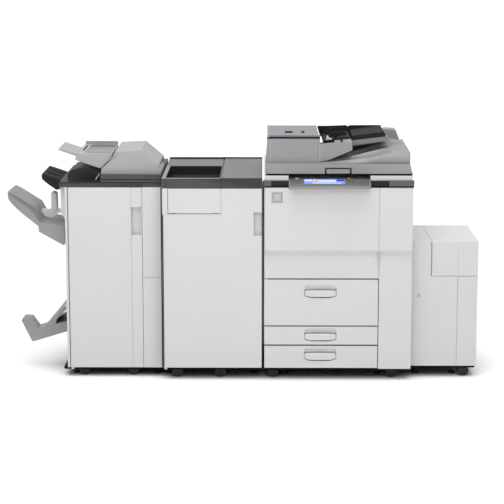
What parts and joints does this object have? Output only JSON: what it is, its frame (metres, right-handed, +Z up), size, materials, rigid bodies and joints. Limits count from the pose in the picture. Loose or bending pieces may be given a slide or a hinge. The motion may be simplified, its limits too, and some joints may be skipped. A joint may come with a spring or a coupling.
{
  "type": "photocopier",
  "caption": "Free-standing production photocopier with document feeder, paper trays, side paper tray, folding unit and stapling finisher with output trays.",
  "frame": {"origin": "on the floor, under the middle of the whole row of units", "axes": "+X along the row to the viewer's right, +Y from the front to the back, +Z up"},
  "size_m": [2.23, 0.883, 1.157],
  "materials": {
    "white_panel": "fine satin moulded",
    "cabinet_white": "satin powder coat",
    "light_grey_plastic": "fine moulded texture",
    "blue_grey_plastic": "fine moulded texture",
    "dark_grey_plastic": "fine moulded texture",
    "mid_grey_plastic": "satin moulded",
    "pale_plastic": "smooth satin",
    "panel_charcoal": "satin",
    "screen": "lit display",
    "key_green": "translucent",
    "key_red": "satin",
    "key_grey": "satin",
    "frame_steel": "zinc plated",
    "pin_steel": "ground",
    "clear_glass": "polished",
    "white_backing": "soft white sheet",
    "carriage_black": "satin",
    "drum_coating": "polished coating",
    "roller_rubber": "smooth silicone",
    "wheel_rubber": "matte",
    "foot_black": "satin"
  },
  "bodies": {
    "main_unit": {"main_chassis": "frame_steel", "main_side_covers": "cabinet_white", "main_rear_cover": "cabinet_white", "main_front_column": "white_panel", "scanner_housing": "white_panel", "exposure_glass": "clear_glass", "front_band": "dark_grey_plastic", "control_panel": "panel_charcoal", "touch_screen": "screen", "drawer_rails": "frame_steel", "fold_cabinet": "cabinet_white", "fold_top_bin": "dark_grey_plastic", "finisher_cabinet": "cabinet_white", "finisher_top_deck": "dark_grey_plastic", "proof_tray": "dark_grey_plastic", "inserter_housing": "light_grey_plastic", "inserter_tray": "light_grey_plastic", "lct_cabinet": "cabinet_white", "hinge_pins": "pin_steel", "caster_forks": "foot_black", "levelling_feet": "foot_black"},
    "front_door": {"front_door": "white_panel"},
    "tray_1": {"tray_1_front": "white_panel", "tray_1_pan": "frame_steel"},
    "tray_2": {"tray_2_front": "white_panel", "tray_2_pan": "frame_steel"},
    "tray_3": {"tray_3_front": "white_panel", "tray_3_pan": "frame_steel"},
    "scan_carriage": {"scan_carriage": "carriage_black"},
    "document_feeder": {"adf_base": "light_grey_plastic", "platen_pad": "white_backing", "adf_housing": "light_grey_plastic", "adf_output_tray": "light_grey_plastic"},
    "feed_cover": {"adf_feed_cover": "blue_grey_plastic"},
    "document_tray": {"adf_document_tray": "dark_grey_plastic"},
    "guide_front": {"document_guide_front": "dark_grey_plastic"},
    "guide_rear": {"document_guide_rear": "dark_grey_plastic"},
    "start_key": {"start_key": "key_green"},
    "stop_key": {"stop_key": "key_red"},
    "number_keys": {"number_keys": "key_grey"},
    "drum": {"photoconductor_drum": "drum_coating"},
    "hot_roller": {"hot_roller": "roller_rubber"},
    "pressure_roller": {"pressure_roller": "roller_rubber"},
    "fold_door": {"fold_door": "white_panel"},
    "fold_flap": {"fold_flap": "white_panel"},
    "finisher_door": {"finisher_door": "white_panel"},
    "shift_tray": {"shift_tray": "mid_grey_plastic"},
    "jogger_fence": {"jogger_fence": "pale_plastic"},
    "booklet_tray": {"booklet_tray": "mid_grey_plastic"},
    "inserter_cover": {"inserter_cover": "light_grey_plastic"},
    "inserter_extension": {"inserter_extension": "light_grey_plastic"},
    "lct_lid": {"lct_lid": "white_panel"},
    "lct_lift": {"lct_lift_plate": "frame_steel"},
    "finisher_left_wheels": {"finisher_left_wheels": "wheel_rubber"},
    "finisher_right_wheels": {"finisher_right_wheels": "wheel_rubber"},
    "fold_left_wheels": {"fold_left_wheels": "wheel_rubber"},
    "fold_right_wheels": {"fold_right_wheels": "wheel_rubber"},
    "main_left_wheels": {"main_left_wheels": "wheel_rubber"},
    "main_right_wheels": {"main_right_wheels": "wheel_rubber"},
    "lct_wheels": {"lct_wheels": "wheel_rubber"}
  },
  "joints": [
    {"name": "front_door_hinge", "type": "hinge", "parent": "main_unit", "child": "front_door", "pos_m": [0.119, -0.3735, 0.705], "axis": [0, 0, -1], "range_deg": [0, 100]},
    {"name": "tray_1_slide", "type": "slide", "parent": "main_unit", "child": "tray_1", "axis": [0, -1, 0], "range_m": [0, 0.42]},
    {"name": "tray_2_slide", "type": "slide", "parent": "main_unit", "child": "tray_2", "axis": [0, -1, 0], "range_m": [0, 0.42]},
    {"name": "tray_3_slide", "type": "slide", "parent": "main_unit", "child": "tray_3", "axis": [0, -1, 0], "range_m": [0, 0.42]},
    {"name": "scan_carriage_slide", "type": "slide", "parent": "main_unit", "child": "scan_carriage", "axis": [1, 0, 0], "range_m": [0, 0.45]},
    {"name": "document_feeder_hinge", "type": "hinge", "parent": "main_unit", "child": "document_feeder", "pos_m": [0.44, 0.236, 0.996], "axis": [-1, 0, 0], "range_deg": [0, 70]},
    {"name": "feed_cover_hinge", "type": "hinge", "parent": "document_feeder", "child": "feed_cover", "pos_m": [0.128, -0.1065, 1.149], "axis": [0, -1, 0], "range_deg": [0, 80]},
    {"name": "document_tray_hinge", "type": "hinge", "parent": "document_feeder", "child": "document_tray", "pos_m": [0.386, -0.0565, 1.108], "axis": [0, -1, 0], "range_deg": [0, 30]},
    {"name": "guide_front_slide", "type": "slide", "parent": "document_tray", "child": "guide_front", "axis": [0, 1, 0], "range_m": [0, 0.07]},
    {"name": "guide_rear_slide", "type": "slide", "parent": "document_tray", "child": "guide_rear", "axis": [0, 1, 0], "range_m": [-0.07, 0]},
    {"name": "start_key_press", "type": "slide", "parent": "main_unit", "child": "start_key", "axis": [0, 0.2351, -0.972], "range_m": [0, 0.002], "stiffness_N_per_m": 300, "springref_m": -0.002},
    {"name": "stop_key_press", "type": "slide", "parent": "main_unit", "child": "stop_key", "axis": [0, 0.2351, -0.972], "range_m": [0, 0.002], "stiffness_N_per_m": 300, "springref_m": -0.002},
    {"name": "number_keys_press", "type": "slide", "parent": "main_unit", "child": "number_keys", "axis": [0, 0.2351, -0.972], "range_m": [0, 0.002], "stiffness_N_per_m": 400, "springref_m": -0.002},
    {"name": "drum_spin", "type": "hinge", "parent": "main_unit", "child": "drum", "pos_m": [0.33, -0.135, 0.7], "axis": [0, 1, 0], "continuous": true},
    {"name": "hot_roller_spin", "type": "hinge", "parent": "main_unit", "child": "hot_roller", "pos_m": [0.205, -0.135, 0.65], "axis": [0, 1, 0], "continuous": true},
    {"name": "pressure_roller_spin", "type": "hinge", "parent": "main_unit", "child": "pressure_roller", "pos_m": [0.205, -0.135, 0.5996], "axis": [0, 1, 0], "continuous": true},
    {"name": "fold_door_hinge", "type": "hinge", "parent": "main_unit", "child": "fold_door", "pos_m": [-0.356, -0.3685, 0.425], "axis": [0, 0, -1], "range_deg": [0, 100]},
    {"name": "fold_flap_hinge", "type": "hinge", "parent": "main_unit", "child": "fold_flap", "pos_m": [-0.2145, -0.3685, 0.8], "axis": [1, 0, 0], "range_deg": [0, 90]},
    {"name": "finisher_door_hinge", "type": "hinge", "parent": "main_unit", "child": "finisher_door", "pos_m": [-0.802, -0.3135, 0.477], "axis": [0, 0, -1], "range_deg": [0, 100]},
    {"name": "shift_tray_lift", "type": "slide", "parent": "main_unit", "child": "shift_tray", "axis": [0, 0, -1], "range_m": [0, 0.25]},
    {"name": "jogger_slide", "type": "slide", "parent": "main_unit", "child": "jogger_fence", "axis": [0, 1, 0], "range_m": [-0.02, 0.02]},
    {"name": "booklet_tray_hinge", "type": "hinge", "parent": "main_unit", "child": "booklet_tray", "pos_m": [-0.838, -0.036, 0.316], "axis": [0, 1, 0], "range_deg": [0, 35]},
    {"name": "inserter_cover_hinge", "type": "hinge", "parent": "main_unit", "child": "inserter_cover", "pos_m": [-0.3928, -0.0958, 1.002], "axis": [0, 1, 0], "range_deg": [0, 60]},
    {"name": "inserter_extension_slide", "type": "slide", "parent": "main_unit", "child": "inserter_extension", "axis": [-0.9455, 0, 0.3256], "range_m": [-0.04, 0.02]},
    {"name": "lct_lid_hinge", "type": "hinge", "parent": "main_unit", "child": "lct_lid", "pos_m": [0.8985, -0.0925, 0.6505], "axis": [0, -1, 0], "range_deg": [0, 80]},
    {"name": "lct_lift_slide", "type": "slide", "parent": "main_unit", "child": "lct_lift", "axis": [0, 0, 1], "range_m": [0, 0.5]},
    {"name": "finisher_left_wheel_roll", "type": "hinge", "parent": "main_unit", "child": "finisher_left_wheels", "pos_m": [-0.745, -0.262, 0.026], "axis": [0, 1, 0], "continuous": true},
    {"name": "finisher_right_wheel_roll", "type": "hinge", "parent": "main_unit", "child": "finisher_right_wheels", "pos_m": [-0.513, -0.262, 0.026], "axis": [0, 1, 0], "continuous": true},
    {"name": "fold_left_wheel_roll", "type": "hinge", "parent": "main_unit", "child": "fold_left_wheels", "pos_m": [-0.302, -0.301, 0.026], "axis": [0, 1, 0], "continuous": true},
    {"name": "fold_right_wheel_roll", "type": "hinge", "parent": "main_unit", "child": "fold_right_wheels", "pos_m": [-0.098, -0.301, 0.026], "axis": [0, 1, 0], "continuous": true},
    {"name": "main_left_wheel_roll", "type": "hinge", "parent": "main_unit", "child": "main_left_wheels", "pos_m": [0.152, -0.301, 0.026], "axis": [0, 1, 0], "continuous": true},
    {"name": "main_right_wheel_roll", "type": "hinge", "parent": "main_unit", "child": "main_right_wheels", "pos_m": [0.712, -0.301, 0.026], "axis": [0, 1, 0], "continuous": true},
    {"name": "lct_wheel_roll", "type": "hinge", "parent": "main_unit", "child": "lct_wheels", "pos_m": [1.058, -0.271, 0.026], "axis": [0, 1, 0], "continuous": true}
  ],
  "couplings": [
    {"joint": "guide_rear_slide", "follows": "guide_front_slide", "ratio": -1},
    {"joint": "pressure_roller_spin", "follows": "hot_roller_spin", "ratio": -1}
  ]
}
